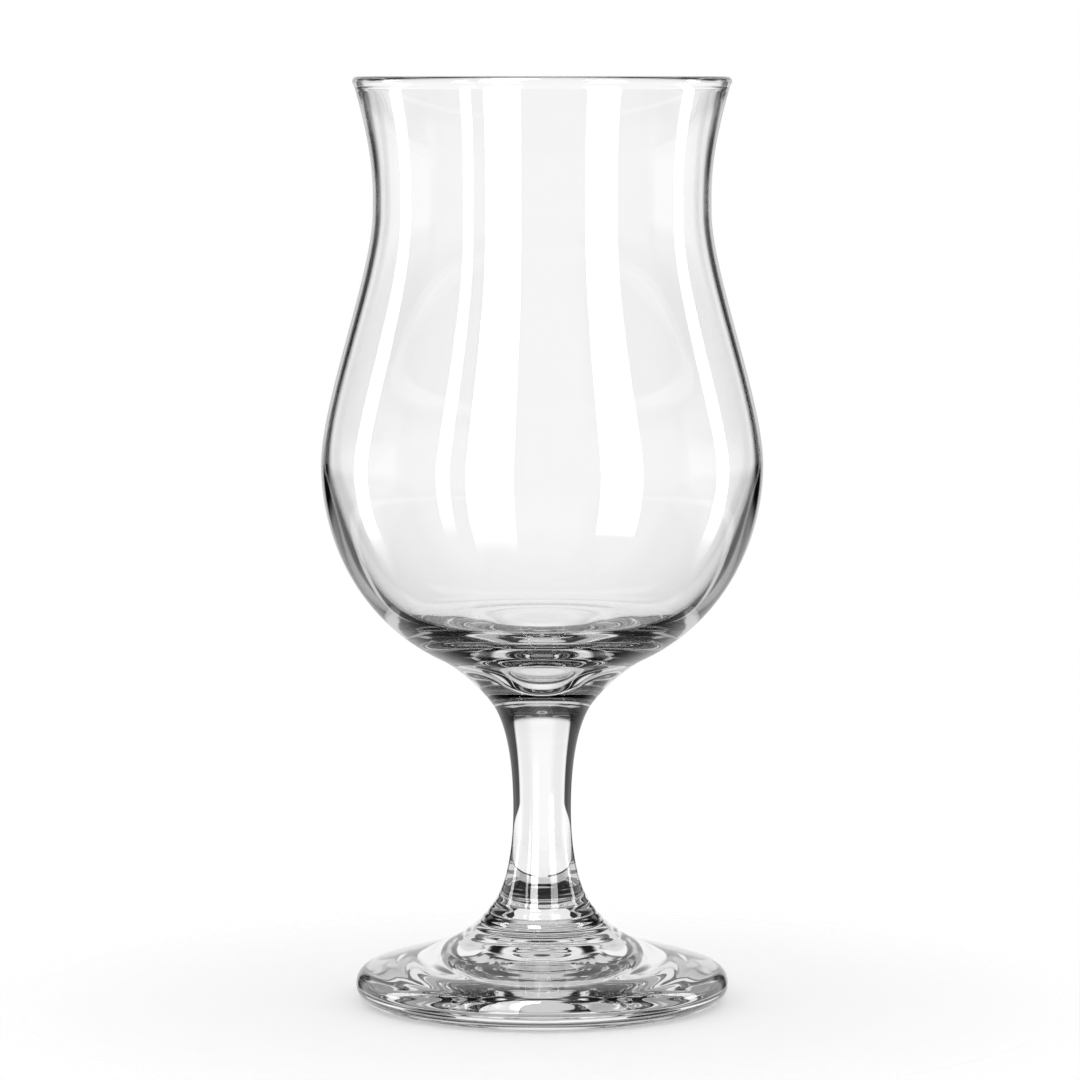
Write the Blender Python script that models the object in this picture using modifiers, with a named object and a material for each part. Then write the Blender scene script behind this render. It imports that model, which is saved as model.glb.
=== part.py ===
"""Poco grande glass: a footed cocktail glass with a flared lip, a pinched waist and a round belly.

A blown bowl, a drawn stem and a pressed foot of clear soda-lime glass stand on one upright
axis and are fused end to end. Each piece is turned from one outline. Lengths are in metres,
+Z is up and the origin is the centre of the foot on the table.
"""

import math
from collections import namedtuple

import bpy
from mathutils import Vector
from mathutils.geometry import interpolate_bezier

# A station is a point on the outline, followed from the lip down. Lean is how far the outline
# slants outward there, in degrees from straight down; before and after are the lengths of its
# curve handles, up and down the outline.
Station = namedtuple("Station", "radius height lean before after")

# Outside of the glass, from the lip to the foot
GLASS_HEIGHT = 0.1753
LIP_RADIUS = 0.0357
LIP_ROUND = 0.00095
LIP_LEAN = -17.5
LIP_HANDLE = 0.0143
WAIST = Station(0.0319, 0.1499, 0.0, 0.0042, 0.0113)
BELLY = Station(0.0418, 0.1021, 0.0, 0.0123, 0.0134)
SHOULDER = Station(0.0196, 0.0655, -64.3, 0.0172, 0.0039)
NECK = Station(0.00995, 0.0574, -39.0, 0.0039, 0.0057)
STEM = Station(0.0055, 0.0364, 0.0, 0.0075, 0.0068)
ANKLE = Station(0.0083, 0.0201, 27.7, 0.0036, 0.0033)
INSTEP = Station(0.0169, 0.0116, 63.0, 0.0049, 0.0047)
FOOT_RADIUS = 0.03545
FOOT_ROUND = 0.0033
FOOT_LEAN = 68.0
FOOT_HANDLE = 0.0039

# Inside of the bowl: a thin wall that thickens below the belly and bends into a heavy, almost
# level floor, which dips in the middle
INNER_LIP_HANDLE = 0.0115
INNER_WAIST = Station(0.0306, 0.1503, 0.0, 0.0045, 0.0117)
INNER_BELLY = Station(0.0407, 0.1030, 0.0, 0.0126, 0.0087)
LOWER_WALL = Station(0.0277, 0.0747, -50.5, 0.0097, 0.0059)
FLOOR_BEND = Station(0.0144, 0.0719, -86.0, 0.0036, 0.0090)
FLOOR_DIP = Station(0.0, 0.0625, -90.0, 0.0064, 0.0)

# Underside of the foot: a flat ring that rests on the table, round a shallow hollow
RING_INNER_RADIUS = 0.0265
HOLLOW_DEPTH = 0.0018
HOLLOW_EDGE_HANDLE = 0.0100
HOLLOW_CROWN_HANDLE = 0.0120

WELD_GAP = 0.0003
POINT_SPACING = 0.0042
FEWEST_POINTS = 8
LIP_POINTS = 9
EDGE_POINTS = 11
SEGMENTS = 56
SHARP_ANGLE = math.radians(40.0)
AXIS_MERGE = 0.00001

GLASS_COLOUR = (0.97, 0.98, 0.98, 1.0)
GLASS_ROUGHNESS = 0.02
GLASS_IOR = 1.52


def along(lean):
    """Unit step down an outline that slants outward by this many degrees."""
    return Vector((math.sin(math.radians(lean)), -math.cos(math.radians(lean))))


def curve(stations):
    """Points of the smooth outline through the stations, spaced about evenly."""
    points = [Vector((stations[0].radius, stations[0].height))]
    for upper, lower in zip(stations, stations[1:]):
        start = Vector((upper.radius, upper.height))
        end = Vector((lower.radius, lower.height))
        leave = start + along(upper.lean) * upper.after
        arrive = end - along(lower.lean) * lower.before
        length = (leave - start).length + (arrive - leave).length + (end - arrive).length
        count = max(FEWEST_POINTS, round(length / POINT_SPACING))
        points += interpolate_bezier(start, leave, arrive, end, count)[1:]
    return points


def arc(centre, radius, start, end, count):
    """Points of a round, from one angle to another in degrees above the outward direction."""
    angles = [math.radians(start + (end - start) * i / (count - 1)) for i in range(count)]
    return [centre + radius * Vector((math.cos(a), math.sin(a))) for a in angles]


def at_weld(station, side):
    """The station slid half a weld gap along its outline, down for side 1 or up for side -1."""
    slide = side * 0.5 * WELD_GAP / math.cos(math.radians(station.lean))
    place = Vector((station.radius, station.height)) + along(station.lean) * slide
    return station._replace(radius=place.x, height=place.y)


def bowl_outline():
    """Up the inside from the floor, over the rounded lip and down the outside to the weld."""
    centre = Vector((LIP_RADIUS - LIP_ROUND, GLASS_HEIGHT - LIP_ROUND))
    lip = arc(centre, LIP_ROUND, 180.0 + LIP_LEAN, LIP_LEAN, LIP_POINTS)
    inner_lip = Station(*lip[0], LIP_LEAN, 0.0, INNER_LIP_HANDLE)
    outer_lip = Station(*lip[-1], LIP_LEAN, 0.0, LIP_HANDLE)
    weld = at_weld(NECK, -1)
    inside = curve([inner_lip, INNER_WAIST, INNER_BELLY, LOWER_WALL, FLOOR_BEND, FLOOR_DIP])
    outside = curve([outer_lip, WAIST, BELLY, SHOULDER, weld])
    return inside[::-1] + lip[1:-1] + outside + [Vector((0.0, weld.height))]


def stem_outline():
    """From the weld under the bowl, in to the slim middle and out to the weld on the foot."""
    top = at_weld(NECK, 1)
    base = at_weld(ANKLE, -1)
    side = curve([top, STEM, base])
    return [Vector((0.0, top.height))] + side + [Vector((0.0, base.height))]


def foot_outline():
    """From the weld under the stem, out over the rounded edge and back under the hollow."""
    top = at_weld(ANKLE, 1)
    centre = Vector((FOOT_RADIUS - FOOT_ROUND, FOOT_ROUND))
    edge = arc(centre, FOOT_ROUND, FOOT_LEAN, -90.0, EDGE_POINTS)
    shoulder = Station(*edge[0], FOOT_LEAN, FOOT_HANDLE, 0.0)
    ring = Station(RING_INNER_RADIUS, 0.0, -90.0, 0.0, HOLLOW_EDGE_HANDLE)
    crown = Station(0.0, HOLLOW_DEPTH, -90.0, HOLLOW_CROWN_HANDLE, 0.0)
    slope = curve([top, INSTEP, shoulder])
    return [Vector((0.0, top.height))] + slope + edge[1:] + curve([ring, crown])


def glass(name):
    """Clear, colourless glass with a fire-polished surface."""
    material = bpy.data.materials.new(name)
    material.use_nodes = True
    surface = material.node_tree.nodes["Principled BSDF"]
    surface.inputs["Base Color"].default_value = GLASS_COLOUR
    surface.inputs["Roughness"].default_value = GLASS_ROUGHNESS
    surface.inputs["Metallic"].default_value = 0.0
    surface.inputs["IOR"].default_value = GLASS_IOR
    surface.inputs["Transmission Weight"].default_value = 1.0
    return material


def turned(name, outline, base, holder, collection):
    """Turns an outline round the axis into a piece that stands on its holder, at height base."""
    profile = bpy.data.meshes.new(name + "_profile")
    points = [(point.x, 0.0, point.y - base) for point in outline]
    profile.from_pydata(points, [(i, i + 1) for i in range(len(points) - 1)], [])
    piece = bpy.data.objects.new(name, profile)
    collection.objects.link(piece)

    screw = piece.modifiers.new("Turn", "SCREW")
    screw.axis = "Z"
    screw.steps = SEGMENTS
    screw.render_steps = SEGMENTS
    screw.use_merge_vertices = True
    screw.merge_threshold = AXIS_MERGE

    solid = bpy.data.meshes.new_from_object(piece.evaluated_get(bpy.context.evaluated_depsgraph_get()))
    piece.modifiers.clear()
    piece.data = solid
    solid.name = name
    bpy.data.meshes.remove(profile)
    solid.shade_smooth()
    solid.set_sharp_from_angle(angle=SHARP_ANGLE)
    solid.materials.append(glass(name + "_glass"))

    if holder:
        piece.parent = holder
        piece.location.z = base - holder.matrix_world.translation.z
    else:
        piece.location.z = base
    bpy.context.view_layer.update()
    return piece


def build():
    for old in list(bpy.data.objects):
        bpy.data.objects.remove(old, do_unlink=True)
    collection = bpy.data.collections.new("poco_grande_glass")
    bpy.context.scene.collection.children.link(collection)
    foot = turned("foot", foot_outline(), 0.0, None, collection)
    stem = turned("stem", stem_outline(), ANKLE.height, foot, collection)
    turned("bowl", bowl_outline(), NECK.height, stem, collection)


build()
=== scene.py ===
"""Looks of the poco grande glass: clear, fire-polished soda-lime glass in a white studio.

The bowl, the stem and the foot are each a fine turned skin over the solid of the same name.
Lengths are in metres, in the frame of the solids: foot centre at the origin, +Z up. Angles are
in degrees, and levels of light are shares of white.
"""

import math
from collections import namedtuple
from functools import cached_property, reduce

import bpy
import numpy as np
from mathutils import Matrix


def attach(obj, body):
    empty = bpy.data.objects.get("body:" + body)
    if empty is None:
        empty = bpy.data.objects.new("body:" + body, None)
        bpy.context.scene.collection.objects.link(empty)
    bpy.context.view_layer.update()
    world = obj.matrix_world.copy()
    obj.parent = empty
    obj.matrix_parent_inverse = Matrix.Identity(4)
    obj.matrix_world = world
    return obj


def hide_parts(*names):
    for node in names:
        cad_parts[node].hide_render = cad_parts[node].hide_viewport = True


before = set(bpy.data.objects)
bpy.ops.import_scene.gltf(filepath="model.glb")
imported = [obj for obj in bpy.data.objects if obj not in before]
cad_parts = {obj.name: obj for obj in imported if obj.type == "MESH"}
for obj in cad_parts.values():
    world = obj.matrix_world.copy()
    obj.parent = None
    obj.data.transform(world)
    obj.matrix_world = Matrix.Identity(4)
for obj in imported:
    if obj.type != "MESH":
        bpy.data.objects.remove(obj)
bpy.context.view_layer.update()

# A station is a point on the outline, followed from the lip down. Lean is how far the outline
# slants outward there, from straight down; before and after are the lengths of its curve
# handles, up and down the outline.
Station = namedtuple("Station", "radius height lean before after")

# Outside of the glass, from the lip to the foot
GLASS_HEIGHT = 0.1753
LIP_RADIUS = 0.0357
LIP_ROUND = 0.00095
LIP_LEAN = -17.5
LIP_HANDLE = 0.0143
WAIST = Station(0.0319, 0.1499, 0.0, 0.0042, 0.0113)
BELLY = Station(0.0418, 0.1021, 0.0, 0.0123, 0.0134)
SHOULDER = Station(0.0196, 0.0655, -64.3, 0.0172, 0.0039)
NECK = Station(0.00995, 0.0574, -39.0, 0.0039, 0.0057)
STEM = Station(0.0055, 0.0364, 0.0, 0.0075, 0.0068)
ANKLE = Station(0.0083, 0.0201, 27.7, 0.0036, 0.0033)
INSTEP = Station(0.0169, 0.0116, 63.0, 0.0049, 0.0047)
FOOT_RADIUS = 0.03545
FOOT_ROUND = 0.0033
FOOT_LEAN = 68.0
FOOT_HANDLE = 0.0039

# Inside of the bowl, and the hollow under the foot
INNER_LIP_HANDLE = 0.0115
INNER_WAIST = Station(0.0306, 0.1503, 0.0, 0.0045, 0.0117)
INNER_BELLY = Station(0.0407, 0.1030, 0.0, 0.0126, 0.0087)
LOWER_WALL = Station(0.0277, 0.0747, -50.5, 0.0097, 0.0059)
FLOOR_BEND = Station(0.0144, 0.0719, -86.0, 0.0036, 0.0090)
FLOOR_DIP = Station(0.0, 0.0625, -90.0, 0.0064, 0.0)
HOLLOW_EDGE = Station(0.0265, 0.0, -90.0, 0.0, 0.0100)
HOLLOW_CROWN = Station(0.0, 0.0018, -90.0, 0.0120, 0.0)

# Bead of the lip: the wall is drawn in under it on both sides, and comes back over a stretch of
# this many bead heights
BEAD_HEIGHT = 0.0011
BEAD_INSIDE = 0.00030
BEAD_OUTSIDE = 0.00015
BEAD_STRETCH = 4.0

# Ripples across the slope of the instep: how high, how long each, and where they end
RIPPLE_HEIGHT = 0.00006
RIPPLE_LENGTH = 0.0022
RIPPLE_END = 0.0130

# Rings pressed into the hollow under the foot
HOLLOW_RING_HEIGHT = 0.00050
HOLLOW_RING_WIDTH = 0.0088

# The faces of a weld meet at its rim and part by twice this depth in the middle
WELD_DISH = 0.00005

# Fineness of the skins, which is greater in the thick glass below FINE_HEIGHT
SEGMENTS = 224
POINT_SPACING = 0.0010
FINE_SPACING = 0.00045
FINE_HEIGHT = 0.085
FEWEST_STEPS = 8
LIP_POINTS = 25
EDGE_POINTS = 37
REST_POINTS = 8

# Clear glass, with painted shade. Glance is 0 for a surface seen squarely and 1 for one seen edge on.
# As it grows, the colour of the wall of the bowl above its base is painted dark, and so is that of
# the sides of the stem between its base and its top, standing in for the dark studio seen through
# the glass there. Each pair is where a change begins and where it is complete.
GLASS_IOR = 1.52
CLEAR_TINT = (0.999, 1.0, 0.9995, 1.0)
# Painted shade: the near-black colour that the glass takes where it is seen at a glance
PAINTED_SHADE_TINT = (0.0006, 0.0006, 0.0006, 1.0)
WALL_GLANCE = (0.80, 0.90)
WALL_BASE = (0.078, 0.090)
STEM_GLANCE = (0.32, 0.38)
STEM_BASE = (0.0230, 0.0270)
STEM_TOP = (0.0550, 0.0580)

# The painted shade on the sides of the stem narrows between these heights, by this much more
# glance below them
STEM_TAPER = (0.0325, 0.0385)
STEM_NARROWING = 0.38

# Strip lights that stand round the glass, with left and right measured from the camera. A strip
# is dark at its bottom, has its full brightness from rise above it, and ends at its top.
Strip = namedtuple("Strip", "left right bottom rise top brightness")
STRIP_LIGHTS = (
    Strip(-104.0, -93.0, -0.030, 0.070, 0.26, 8.0),
    Strip(-50.5, -43.5, -0.030, 0.070, 0.26, 8.0),
    Strip(-35.5, -13.0, -0.080, 0.120, 1.20, 16.0),
    Strip(27.0, 48.0, -0.010, 0.012, 0.34, 8.0),
    Strip(93.0, 103.0, -0.030, 0.070, 0.26, 8.0),
)
STRIP_DISTANCE = 0.20
STRIP_ROWS = 65
STRIP_COLUMNS = 9

# A strip widens above this height, to twice its width over this rise
STRIP_FLARE_HEIGHT = 0.25
STRIP_FLARE_RISE = 0.2

# White table, and the radii between which it turns clear
TABLE_RADIUS = 0.12
TABLE_DROP = 0.0002
TABLE_RINGS = 12
TABLE_SEGMENTS = 96
TABLE_FADE = (0.06, 0.118)

# Painted shade: a dark ring behind the foot that darkens its rounded edge, with the start and end
# of its two arcs measured from the backdrop
DARK_RING_RADIUS = 0.039
DARK_RING_START = 5.5
DARK_RING_END = 80.0
DARK_RING_BOTTOM = 0.0002
DARK_RING_TOP = 0.0045
DARK_RING_POINTS = 33

# Number of backdrop panels round the glass, and the level of the unlit parts of the studio
PANELS = 8.0
UNLIT = 0.01

WHITE = (1.0, 1.0, 1.0, 1.0)
# Colour of the dark ring that paints shade into the rounded edge of the foot
PAINTED_SHADE_GREY = (0.03, 0.03, 0.03, 1.0)

# Camera of the photo, found from the ellipses of the lip and the foot
CAMERA_PLACE = (-0.0004, -0.9678, 0.1768)
CAMERA_DOWNWARD = 5.25
FOCAL_LENGTH_PIXELS = 5133.65
PHOTO_WIDTH_PIXELS = 1080.0
SENSOR_WIDTH_MM = 36.0
CAMERA_REACH = 50.0

# How many surfaces light is followed through, and how many turn it back
BOUNCES = 32
MIRROR_BOUNCES = 16


def along(lean):
    """Unit step down an outline that leans outward by this much."""
    return np.array([math.sin(math.radians(lean)), -math.cos(math.radians(lean))])


def curve(*stations):
    """Outline through the stations: one cubic Bezier between each two, with its handles along
    their leans, read at even steps of the parameter, or at their squares next to the lip, where
    the bead needs the finest steps."""
    runs = []
    for upper, lower in zip(stations, stations[1:]):
        start, end = np.array(upper[:2]), np.array(lower[:2])
        leave = start + along(upper.lean) * upper.after
        arrive = end - along(lower.lean) * lower.before
        spacing = FINE_SPACING if lower.height < FINE_HEIGHT else POINT_SPACING
        steps = max(FEWEST_STEPS, round(np.linalg.norm(end - start) / spacing))
        t = np.linspace(0.0, 1.0, steps + 1)[:, None]
        if upper.height > GLASS_HEIGHT - 2.0 * LIP_ROUND:
            t = t * t
        s = 1.0 - t
        run = s**3 * start + 3 * s * s * t * leave + 3 * s * t * t * arrive + t**3 * end
        runs.append(run if not runs else run[1:])
    return np.concatenate(runs)


def arc(centre, radius, start, end, count):
    """Round of an outline: centre plus radius times (cos, sin) of evenly spaced angles."""
    angle = np.radians(np.linspace(start, end, count))
    return np.array(centre) + radius * np.column_stack([np.cos(angle), np.sin(angle)])


def below_bead(height):
    """How far the wall is drawn in at a height, from 0 to 1. With d the depth below the lip in
    bead heights, it is 3 d^2 - 2 d^3 down to d = 1 and exp((1 - d) / BEAD_STRETCH) further down."""
    depth = np.maximum(GLASS_HEIGHT - LIP_ROUND - height, 0.0) / BEAD_HEIGHT
    rise = np.clip(depth, 0.0, 1.0)
    return rise * rise * (3.0 - 2.0 * rise) * np.exp(-np.maximum(depth - 1.0, 0.0) / BEAD_STRETCH)


def bowl_outline():
    """Up the inside from the floor, over the lip and down the outside to the weld."""
    centre = (LIP_RADIUS - LIP_ROUND, GLASS_HEIGHT - LIP_ROUND)
    lip = arc(centre, LIP_ROUND, 180.0 + LIP_LEAN, LIP_LEAN, LIP_POINTS)
    inner_lip = Station(*lip[0], LIP_LEAN, 0.0, INNER_LIP_HANDLE)
    outer_lip = Station(*lip[-1], LIP_LEAN, 0.0, LIP_HANDLE)
    inside = curve(inner_lip, INNER_WAIST, INNER_BELLY, LOWER_WALL, FLOOR_BEND, FLOOR_DIP)
    outside = curve(outer_lip, WAIST, BELLY, SHOULDER, NECK)
    inside[:, 0] += BEAD_INSIDE * below_bead(inside[:, 1])
    outside[:, 0] -= BEAD_OUTSIDE * below_bead(outside[:, 1])
    return np.concatenate([inside[::-1], lip[1:-1], outside, [[0.0, NECK.height + WELD_DISH]]])


def stem_outline():
    """From the weld under the bowl, in to the slim middle and out to the weld on the foot."""
    top, base = [[0.0, NECK.height - WELD_DISH]], [[0.0, ANKLE.height + WELD_DISH]]
    return np.concatenate([top, curve(NECK, STEM, ANKLE), base])


def rippled(outline):
    """The outline moved out and in by a sine of its length, which grows from nothing over the
    first ripple and fades to nothing over the last."""
    step = np.linalg.norm(np.diff(outline, axis=0), axis=1)
    length = np.concatenate([[0.0], np.cumsum(step)])
    tangent = np.gradient(outline, axis=0)
    tangent /= np.linalg.norm(tangent, axis=1)[:, None]
    outward = np.column_stack([-tangent[:, 1], tangent[:, 0]])
    growing = np.clip(length / RIPPLE_LENGTH, 0.0, 1.0)
    fading = np.clip((RIPPLE_END - length) / RIPPLE_LENGTH, 0.0, 1.0)
    wave = RIPPLE_HEIGHT * np.sin(length / RIPPLE_LENGTH * 2.0 * math.pi) * (growing * fading)
    return outline + outward * wave[:, None]


def ringed_hollow():
    """From the flat ring under the foot in to the axis. The pressed rings lift the hollow by a
    raised cosine of the radius r, times 1 - (r / edge radius)^4, so that it dies out at the edge."""
    hollow = curve(HOLLOW_EDGE, HOLLOW_CROWN)
    radius = hollow[:, 0]
    rings = 0.5 + 0.5 * np.cos(radius / HOLLOW_RING_WIDTH * 2.0 * math.pi)
    hollow[:, 1] += HOLLOW_RING_HEIGHT * rings * (1.0 - (radius / HOLLOW_EDGE.radius) ** 4)
    return hollow


def foot_outline():
    """From the weld under the stem, out over the rounded edge, and back along the flat ring that
    rests on the table and under the hollow."""
    edge_centre = (FOOT_RADIUS - FOOT_ROUND, FOOT_ROUND)
    edge = arc(edge_centre, FOOT_ROUND, FOOT_LEAN, -90.0, EDGE_POINTS)
    slope = rippled(curve(ANKLE, INSTEP, Station(*edge[0], FOOT_LEAN, FOOT_HANDLE, 0.0)))
    rest = np.linspace(edge[-1], HOLLOW_EDGE[:2], REST_POINTS)[1:-1]
    top = [[0.0, ANKLE.height - WELD_DISH]]
    return np.concatenate([top, slope, edge[1:], rest, ringed_hollow()])


def ring_quads(rings, segments):
    """Faces between closed rings of points: each joins two points that are neighbours on a ring
    with the same two on the next ring."""
    here = np.arange(segments)
    beside = np.roll(here, -1)
    ring = (np.arange(rings - 1) * segments)[:, None]
    after = ring + segments
    return np.stack([ring + here, after + here, after + beside, ring + beside], -1).reshape(-1, 4)


def grid_quads(rows, columns):
    """Faces of an open grid of points that is stored row by row."""
    corner = (np.arange(rows - 1)[:, None] * columns + np.arange(columns - 1)).ravel()
    return np.stack([corner, corner + 1, corner + columns + 1, corner + columns], -1)


def mesh_object(name, points, faces):
    """Object at the origin with these points and faces."""
    mesh = bpy.data.meshes.new(name)
    mesh.from_pydata(points.reshape(-1, 3).tolist(), [], faces)
    item = bpy.data.objects.new(name, mesh)
    bpy.context.scene.collection.objects.link(item)
    return item


def turned_skin(name, outline, welds):
    """Closed skin of a turned piece. Each outline point (r, z) becomes the ring
    (r cos a, r sin a, z) for evenly spaced angles a, and the two ends, which lie on the axis,
    close it with a fan each. The fan at a weld takes the second material and has a sharp rim;
    welds names the ends of the outline that are welds."""
    radius, height = outline[1:-1, 0, None], outline[1:-1, 1, None]
    rings = len(radius)
    angle = np.linspace(0.0, 2.0 * math.pi, SEGMENTS, endpoint=False)
    points = np.stack(np.broadcast_arrays(radius * np.cos(angle), radius * np.sin(angle), height), -1)
    poles = [(0.0, 0.0, outline[0, 1]), (0.0, 0.0, outline[-1, 1])]
    points = np.concatenate([points.reshape(-1, 3), poles])

    here = np.arange(SEGMENTS)
    beside = np.roll(here, -1)
    last_ring = (rings - 1) * SEGMENTS
    start_pole = np.full(SEGMENTS, rings * SEGMENTS)
    start_fan = np.stack([start_pole, here, beside], -1)
    end_fan = np.stack([last_ring + here, start_pole + 1, last_ring + beside], -1)
    faces = ring_quads(rings, SEGMENTS).tolist() + start_fan.tolist() + end_fan.tolist()
    piece = mesh_object(name, points, faces)
    mesh = piece.data
    mesh.shade_smooth()

    edges = np.empty(len(mesh.edges) * 2, np.int32)
    mesh.edges.foreach_get("vertices", edges)
    edges = edges.reshape(-1, 2)
    material = np.zeros(len(faces), np.int32)
    sharp = np.zeros(len(edges), bool)
    fans = {"start": slice(-2 * SEGMENTS, -SEGMENTS), "end": slice(-SEGMENTS, None)}
    rims = {"start": 0, "end": last_ring}
    for end in welds:
        material[fans[end]] = 1
        sharp |= ((edges >= rims[end]) & (edges < rims[end] + SEGMENTS)).all(1)
    mesh.polygons.foreach_set("material_index", material)
    mesh.attributes.new("sharp_edge", "BOOLEAN", "EDGE").data.foreach_set("value", sharp)
    mesh.update()
    return piece


def feed(tree, socket, value):
    """Gives a socket a plain number, or links it to another node's output."""
    if isinstance(value, (int, float)):
        socket.default_value = value
    else:
        tree.links.new(value, socket)


def math_node(tree, operation, *values):
    """Output of a Math node that is fed these values."""
    node = tree.nodes.new("ShaderNodeMath")
    node.operation = operation
    for socket, value in zip(node.inputs, values):
        feed(tree, socket, value)
    return node.outputs[0]


def ramp(tree, value, low, high, start, end):
    """Smooth step from start to end as the value goes from low to high."""
    node = tree.nodes.new("ShaderNodeMapRange")
    node.interpolation_type = "SMOOTHSTEP"
    tree.links.new(value, node.inputs["Value"])
    node.inputs["From Min"].default_value = low
    node.inputs["From Max"].default_value = high
    node.inputs["To Min"].default_value = start
    node.inputs["To Max"].default_value = end
    return node.outputs["Result"]


def mix_value(tree, factor, a, b):
    """Number between a, for factor 0, and b, for factor 1."""
    node = tree.nodes.new("ShaderNodeMix")
    node.data_type = "FLOAT"
    feed(tree, node.inputs[0], factor)
    feed(tree, node.inputs[2], a)
    feed(tree, node.inputs[3], b)
    return node.outputs[0]


def never_turned(tree):
    """1 for light that was never turned back by a surface, else 0."""
    path = tree.nodes.new("ShaderNodeLightPath")
    return math_node(tree, "LESS_THAN", path.outputs["Glossy Depth"], 0.5)


def new_material(name):
    """A new material with its node tree and its Principled surface."""
    material = bpy.data.materials.new(name)
    material.use_nodes = True
    return material, material.node_tree, material.node_tree.nodes["Principled BSDF"]


def make_clear(surface, ior):
    """Sets a surface to polished glass that bends light by this index."""
    surface.inputs["Roughness"].default_value = 0.0
    surface.inputs["IOR"].default_value = ior
    surface.inputs["Transmission Weight"].default_value = 1.0


def make_matt(surface, colour):
    """Sets a surface to a matt colour without gloss."""
    surface.inputs["Base Color"].default_value = colour
    surface.inputs["Roughness"].default_value = 1.0
    surface.inputs["Specular IOR Level"].default_value = 0.0


def clear_glass():
    """Colourless fire-polished glass with painted shade: its colour turns dark at a glancing angle
    along the wall of the bowl and the sides of the stem."""
    material, tree, surface = new_material("clear_glass")
    coord = tree.nodes.new("ShaderNodeTexCoord")
    split = tree.nodes.new("ShaderNodeSeparateXYZ")
    tree.links.new(coord.outputs["Object"], split.inputs[0])
    height = split.outputs["Z"]
    glance = tree.nodes.new("ShaderNodeLayerWeight").outputs["Facing"]

    # Masks of painted shade, by glance and height, on the wall of the bowl and the sides of the stem
    wall_shade = ramp(tree, glance, *WALL_GLANCE, 0.0, 1.0)
    wall_shade = math_node(tree, "MULTIPLY", wall_shade, ramp(tree, height, *WALL_BASE, 0.0, 1.0))
    taper = ramp(tree, height, *STEM_TAPER, STEM_NARROWING, 0.0)
    stem = ramp(tree, math_node(tree, "SUBTRACT", glance, taper), *STEM_GLANCE, 0.0, 1.0)
    stem = math_node(tree, "MULTIPLY", stem, ramp(tree, height, *STEM_BASE, 0.0, 1.0))
    stem = math_node(tree, "MULTIPLY", stem, ramp(tree, height, *STEM_TOP, 1.0, 0.0))

    # Painted shade: the colour goes from clear to near black as the masks grow
    painted_edge_shade = tree.nodes.new("ShaderNodeMix")
    painted_edge_shade.data_type = "RGBA"
    tree.links.new(math_node(tree, "ADD", wall_shade, stem), painted_edge_shade.inputs["Factor"])
    painted_edge_shade.inputs[6].default_value = CLEAR_TINT
    painted_edge_shade.inputs[7].default_value = PAINTED_SHADE_TINT
    tree.links.new(painted_edge_shade.outputs[2], surface.inputs["Base Color"])
    make_clear(surface, GLASS_IOR)
    return material


def fused_weld():
    """Weld inside the glass: the same glass on both sides, so it bends no light."""
    material, tree, surface = new_material("fused_weld")
    surface.inputs["Base Color"].default_value = WHITE
    make_clear(surface, 1.0)
    return material


class Sky:
    """Levels of light in the studio, as nodes of its world. The side of a direction is its angle
    from the backdrop, round to the left or the right; its height is its angle above the horizon."""

    def __init__(self, tree):
        coord = tree.nodes.new("ShaderNodeTexCoord")
        split = tree.nodes.new("ShaderNodeSeparateXYZ")
        tree.links.new(coord.outputs["Generated"], split.inputs[0])
        x, y, z = split.outputs
        self.tree = tree
        self.azimuth = math_node(tree, "ARCTAN2", x, y)
        self.side_angle = math_node(tree, "ABSOLUTE", self.azimuth)
        self.height_angle = math_node(tree, "ARCSINE", z)

    def side(self, low, high, start, end):
        """Level that goes from start to end as the side goes from low to high."""
        return ramp(self.tree, self.side_angle, math.radians(low), math.radians(high), start, end)

    def height(self, low, high, start, end):
        """Level that goes from start to end as the height goes from low to high."""
        return ramp(self.tree, self.height_angle, math.radians(low), math.radians(high), start, end)

    def sides(self, low, high, soft):
        """1 for sides from low to high, falling to 0 over soft beyond them."""
        return self.times(self.side(low - soft, low, 0.0, 1.0), self.side(high, high + soft, 1.0, 0.0))

    def heights(self, low, high, soft):
        """1 for heights from low to high, falling to 0 over soft beyond them."""
        rise = self.height(low - soft, low, 0.0, 1.0)
        return self.times(rise, self.height(high, high + soft, 1.0, 0.0))

    def times(self, *levels):
        """Product of the levels."""
        return reduce(lambda a, b: math_node(self.tree, "MULTIPLY", a, b), levels)

    def brightest(self, *levels):
        """Brightest of the levels."""
        return reduce(lambda a, b: math_node(self.tree, "MAXIMUM", a, b), levels)

    @cached_property
    def around(self):
        """The backdrop, a dark flag on each side of it, and lit walls beyond the flags."""
        walls = self.times(self.sides(37.0, 95.0, 7.0), self.height(12.0, 20.0, 0.85, 0.085))
        return self.brightest(self.side(17.5, 22.5, 0.95, UNLIT), walls)

    @cached_property
    def overhead(self):
        """Light straight above, on the camera's side."""
        return self.times(self.height(70.0, 77.0, 0.0, 1.0), self.side(80.0, 100.0, 0.0, 1.0))

    @cached_property
    def rear(self):
        """Light behind the camera."""
        return self.side(160.0, 166.0, UNLIT, 0.8)


def straight_view(sky):
    """White panels, a little dimmer at their joins, and dim high up."""
    fold = math_node(sky.tree, "COSINE", math_node(sky.tree, "MULTIPLY", sky.azimuth, PANELS))
    join, panel = math.cos(math.radians(160.0)), math.cos(math.radians(64.0))
    return sky.times(ramp(sky.tree, fold, join, panel, 0.88, 1.0), sky.height(24.0, 50.0, 1.0, 0.2))


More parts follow.
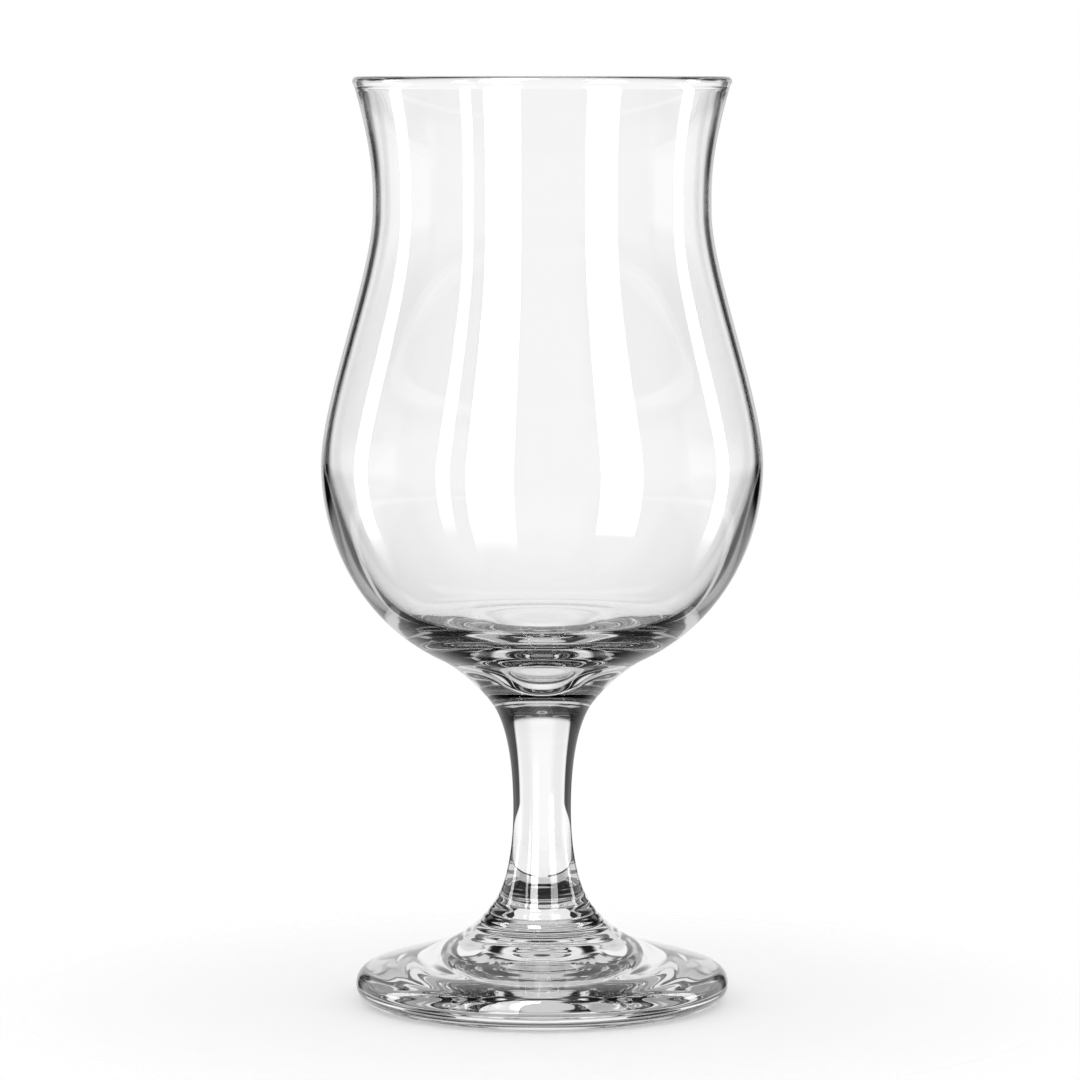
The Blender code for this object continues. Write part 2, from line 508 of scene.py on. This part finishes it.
def once_turned_view(sky):
    """The whole studio: backdrop, table, the room behind the camera, and the lights."""
    backdrop = sky.times(sky.around, sky.height(15.0, 21.0, 1.0, 0.06))
    backdrop = sky.times(backdrop, sky.height(-14.0, -7.0, 0.0, 1.0))
    table = sky.times(sky.side(18.0, 23.0, 0.5, 0.0), sky.height(-27.0, -23.0, 0.0, 1.0))
    table_edge = sky.times(sky.heights(-26.3, -24.4, 0.6), 0.65)
    table = sky.times(sky.brightest(table, table_edge), sky.height(-12.0, -8.0, 1.0, 0.0))
    near_table = sky.times(sky.heights(-56.0, -44.0, 5.0), sky.side(50.0, 70.0, 0.27, 0.0))
    room = sky.times(sky.side(88.0, 98.0, 0.0, 0.55), sky.height(-24.0, -14.0, 0.0, 1.0))
    room_floor = sky.times(sky.side(146.0, 158.0, 0.0, 0.55), sky.height(-60.0, -48.0, 0.0, 1.0))
    softbox = sky.times(sky.side(146.0, 154.0, 0.0, 0.8), sky.heights(38.0, 64.0, 4.0))
    panel = sky.times(sky.side(10.0, 16.0, 0.65, 0.0), sky.heights(27.0, 47.0, 4.0))
    wide_panel = sky.times(sky.side(42.0, 50.0, 0.65, 0.0), sky.heights(40.0, 56.0, 3.0))
    stage = sky.brightest(backdrop, table, near_table, room, room_floor)
    return sky.brightest(stage, sky.overhead, softbox, panel, wide_panel)


def twice_turned_view(sky):
    """Walls all round, the light overhead, the backdrop down to the table, and the table."""
    walls = sky.times(sky.heights(8.0, 64.0, 4.0), 0.65)
    backdrop = sky.times(sky.side(20.0, 26.0, 0.65, 0.0), sky.heights(-10.0, 64.0, 3.0))
    table = sky.times(sky.side(56.0, 64.0, 0.75, UNLIT), sky.height(-48.0, -42.0, 0.04, 1.0))
    table = sky.times(table, sky.height(-12.0, -8.0, 1.0, 0.0))
    return sky.brightest(walls, sky.overhead, backdrop, table)


def thrice_turned_view(sky):
    """The half of the studio ahead, brightest about the horizon, and a dim floor behind."""
    ahead = sky.times(
        sky.side(68.0, 84.0, 0.9, UNLIT),
        sky.height(-46.0, -38.0, 0.1, 1.0),
        sky.height(-16.0, -10.0, 0.55, 1.0),
        sky.height(0.0, 6.0, 1.0, 0.4),
        sky.height(32.0, 42.0, 1.0, 0.1),
    )
    behind = sky.times(sky.side(88.0, 98.0, 0.0, 0.24), sky.height(-28.0, -20.0, 1.0, 0.0))
    return sky.brightest(ahead, behind)


def four_times_turned_view(sky):
    """The table, a dim backdrop and the light behind the camera."""
    table = sky.times(sky.height(-12.0, -9.0, 1.0, 0.0), sky.side(64.0, 70.0, 0.8, 0.0))
    return sky.brightest(table, sky.side(30.0, 40.0, 0.4, 0.0), sky.rear)


def five_times_turned_view(sky):
    """The walls beside the glass and the light behind the camera."""
    walls = sky.times(sky.sides(50.0, 90.0, 4.0), sky.heights(8.0, 35.0, 4.0), 0.5)
    return sky.brightest(walls, sky.rear)


def often_turned_view(sky):
    """Dim light ahead and behind, brighter abeam and high up behind."""
    level = sky.brightest(sky.side(40.0, 48.0, 0.35, 0.0), sky.side(134.0, 142.0, 0.0, 0.35))
    level = sky.times(level, sky.height(20.0, 26.0, 1.0, 0.1), sky.heights(-14.0, 40.0, 5.0))
    abeam = sky.times(sky.sides(94.0, 130.0, 6.0), sky.heights(-14.0, 20.0, 5.0), 0.6)
    high = sky.times(sky.side(100.0, 108.0, 0.0, 0.8), sky.height(50.0, 56.0, 0.0, 1.0))
    return sky.brightest(level, abeam, high, UNLIT)


def mirrored_view(sky):
    """Ahead, the table below, the backdrop and its flags level, and a light above; dim behind."""
    low = sky.times(sky.side(34.0, 42.0, 0.9, 0.05), sky.height(-32.0, -14.0, 0.02, 0.65))
    low = sky.brightest(low, sky.height(-50.0, -24.0, 0.05, 0.7))
    high = sky.times(sky.side(34.0, 42.0, 0.9, 0.05), sky.height(38.0, 48.0, 1.0, 0.1))
    ahead = mix_value(sky.tree, sky.height(16.0, 21.0, 0.0, 1.0), sky.around, high)
    ahead = mix_value(sky.tree, sky.height(-12.0, -8.0, 0.0, 1.0), low, ahead)
    behind = sky.height(-54.0, -34.0, 0.05, 0.33)
    return mix_value(sky.tree, sky.side(96.0, 110.0, 0.0, 1.0), ahead, behind)


def studio_world():
    """White for the camera and for scattered light. Light that leaves the glass sees another view
    of the studio for each number of turns that it made inside, and the outer surface mirrors one
    of its own."""
    world = bpy.data.worlds.new("white_studio")
    bpy.context.scene.world = world
    world.use_nodes = True
    tree = world.node_tree
    sky = Sky(tree)
    path = tree.nodes.new("ShaderNodeLightPath").outputs
    turned_views = (
        once_turned_view,
        twice_turned_view,
        thrice_turned_view,
        four_times_turned_view,
        five_times_turned_view,
        often_turned_view,
    )
    level = straight_view(sky)
    for turns, view in enumerate(turned_views, 1):
        reached = ramp(tree, path["Glossy Depth"], turns - 0.9, turns - 0.1, 0.0, 1.0)
        level = mix_value(tree, reached, level, view(sky))
    level = mix_value(tree, path["Is Transmission Ray"], 1.0, level)
    level = mix_value(tree, path["Is Reflection Ray"], level, mirrored_view(sky))
    scattered = math_node(tree, "MINIMUM", path["Diffuse Depth"], 1.0)
    level = mix_value(tree, scattered, level, 1.0)
    background = tree.nodes["Background"]
    background.inputs["Color"].default_value = WHITE
    tree.links.new(level, background.inputs["Strength"])


def floor():
    """White table: a disc of rings (r cos a, r sin a, -TABLE_DROP), clear towards its edge so that
    it runs into the white. Light that was turned back inside the glass doesn't see it."""
    radius = np.linspace(0.0, TABLE_RADIUS, TABLE_RINGS + 1)[1:, None]
    angle = np.linspace(0.0, 2.0 * math.pi, TABLE_SEGMENTS, endpoint=False)
    depth = np.full((TABLE_RINGS, TABLE_SEGMENTS), -TABLE_DROP)
    points = np.stack([radius * np.cos(angle), radius * np.sin(angle), depth], -1)
    middle = list(range(TABLE_SEGMENTS))
    disc = mesh_object("floor", points, ring_quads(TABLE_RINGS, TABLE_SEGMENTS).tolist() + [middle])

    material, tree, surface = new_material("white_floor")
    make_matt(surface, WHITE)
    coord = tree.nodes.new("ShaderNodeTexCoord")
    length = tree.nodes.new("ShaderNodeVectorMath")
    length.operation = "LENGTH"
    tree.links.new(coord.outputs["Object"], length.inputs[0])
    cover = ramp(tree, length.outputs["Value"], *TABLE_FADE, 1.0, 0.0)
    cover = math_node(tree, "MULTIPLY", cover, never_turned(tree))
    tree.links.new(cover, surface.inputs["Alpha"])
    disc.data.materials.append(material)


def strip_lights():
    """Upright strips of a cylinder round the glass: (d sin a, -d cos a, z), with the angle a across
    a strip and the height z up it. They shine only into the mirror of the outer surface, and
    their level rises from the lower end with the cube of the height."""
    across, up = np.meshgrid(np.linspace(-1.0, 1.0, STRIP_COLUMNS), np.linspace(0.0, 1.0, STRIP_ROWS))
    quads = grid_quads(STRIP_ROWS, STRIP_COLUMNS)
    points, levels, faces = [], [], []
    for count, strip in enumerate(STRIP_LIGHTS):
        height = strip.bottom + (strip.top - strip.bottom) * up**2
        flare = 1.0 + np.clip((height - STRIP_FLARE_HEIGHT) / STRIP_FLARE_RISE, 0.0, 1.0)
        middle = 0.5 * (strip.left + strip.right)
        angle = np.radians(middle + 0.5 * (strip.right - strip.left) * flare * across)
        x, y = STRIP_DISTANCE * np.sin(angle), -STRIP_DISTANCE * np.cos(angle)
        points.append(np.stack([x, y, height], -1))
        share = np.clip((height - strip.bottom) / strip.rise, 0.0, 1.0)
        levels.append(strip.brightness * share**3)
        faces.append(quads + count * up.size)
    strips = mesh_object("strip_lights", np.concatenate(points), np.concatenate(faces).tolist())
    shine = strips.data.attributes.new("shine", "FLOAT", "POINT")
    shine.data.foreach_set("value", np.concatenate(levels).ravel())

    material, tree, surface = new_material("strip_light")
    tree.nodes.remove(surface)
    level = tree.nodes.new("ShaderNodeAttribute")
    level.attribute_name = "shine"
    path = tree.nodes.new("ShaderNodeLightPath")
    outer = math_node(tree, "LESS_THAN", path.outputs["Transmission Depth"], 0.5)
    light = tree.nodes.new("ShaderNodeEmission")
    tree.links.new(math_node(tree, "MULTIPLY", outer, level.outputs["Fac"]), light.inputs["Strength"])
    clear = tree.nodes.new("ShaderNodeBsdfTransparent")
    both = tree.nodes.new("ShaderNodeAddShader")
    tree.links.new(light.outputs[0], both.inputs[0])
    tree.links.new(clear.outputs[0], both.inputs[1])
    tree.links.new(both.outputs[0], tree.nodes["Material Output"].inputs["Surface"])
    strips.data.materials.append(material)
    strips.visible_camera = False
    strips.visible_diffuse = False
    strips.visible_transmission = False
    strips.visible_shadow = False


def shade_stand_in_ring():
    """Painted shade: two arcs of a low dark ring behind the foot, bands of the upright cylinder
    (r sin a, r cos a, z). Only light that goes straight through the glass sees them, and they darken
    the rounded edge of the foot, standing in for shade seen through it."""
    angle = np.radians(np.linspace(DARK_RING_START, DARK_RING_END, DARK_RING_POINTS))
    x, y = DARK_RING_RADIUS * np.sin(angle), DARK_RING_RADIUS * np.cos(angle)
    points = [
        np.column_stack([side * x, y, np.full(DARK_RING_POINTS, height)])
        for side in (-1.0, 1.0)
        for height in (DARK_RING_BOTTOM, DARK_RING_TOP)
    ]
    band = grid_quads(2, DARK_RING_POINTS)
    faces = np.concatenate([band, band + 2 * DARK_RING_POINTS])
    ring = mesh_object("shade_stand_in_ring", np.concatenate(points), faces.tolist())

    material, tree, surface = new_material("painted_shade_ring")
    # Dark colour of the ring, which paints shade into the foot's rounded edge
    make_matt(surface, PAINTED_SHADE_GREY)
    tree.links.new(never_turned(tree), surface.inputs["Alpha"])
    ring.data.materials.append(material)
    ring.visible_camera = False
    ring.visible_diffuse = False
    ring.visible_glossy = False
    ring.visible_shadow = False


def camera():
    """The photo's camera, level from side to side and looking a little down."""
    data = bpy.data.cameras.new("camera")
    data.sensor_width = SENSOR_WIDTH_MM
    data.lens = FOCAL_LENGTH_PIXELS / PHOTO_WIDTH_PIXELS * SENSOR_WIDTH_MM
    data.clip_end = CAMERA_REACH
    eye = bpy.data.objects.new("camera", data)
    eye.location = CAMERA_PLACE
    eye.rotation_euler = (math.radians(90.0 - CAMERA_DOWNWARD), 0.0, 0.0)
    bpy.context.scene.collection.objects.link(eye)
    bpy.context.scene.camera = eye


glass = clear_glass()
weld = fused_weld()
for node, outline, welds in (
    ("bowl", bowl_outline(), ("end",)),
    ("stem", stem_outline(), ("start", "end")),
    ("foot", foot_outline(), ("start",)),
):
    skin = turned_skin(node + "_glass", outline, welds)
    skin.data.materials.append(glass)
    skin.data.materials.append(weld)
    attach(skin, "root")
    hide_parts(node)

studio_world()
floor()
strip_lights()
# Dark ring that paints shade into the rounded edge of the foot
shade_stand_in_ring()
camera()
bpy.context.scene.view_settings.view_transform = "Standard"
bpy.context.scene.cycles.max_bounces = BOUNCES
bpy.context.scene.cycles.transmission_bounces = BOUNCES
bpy.context.scene.cycles.glossy_bounces = MIRROR_BOUNCES
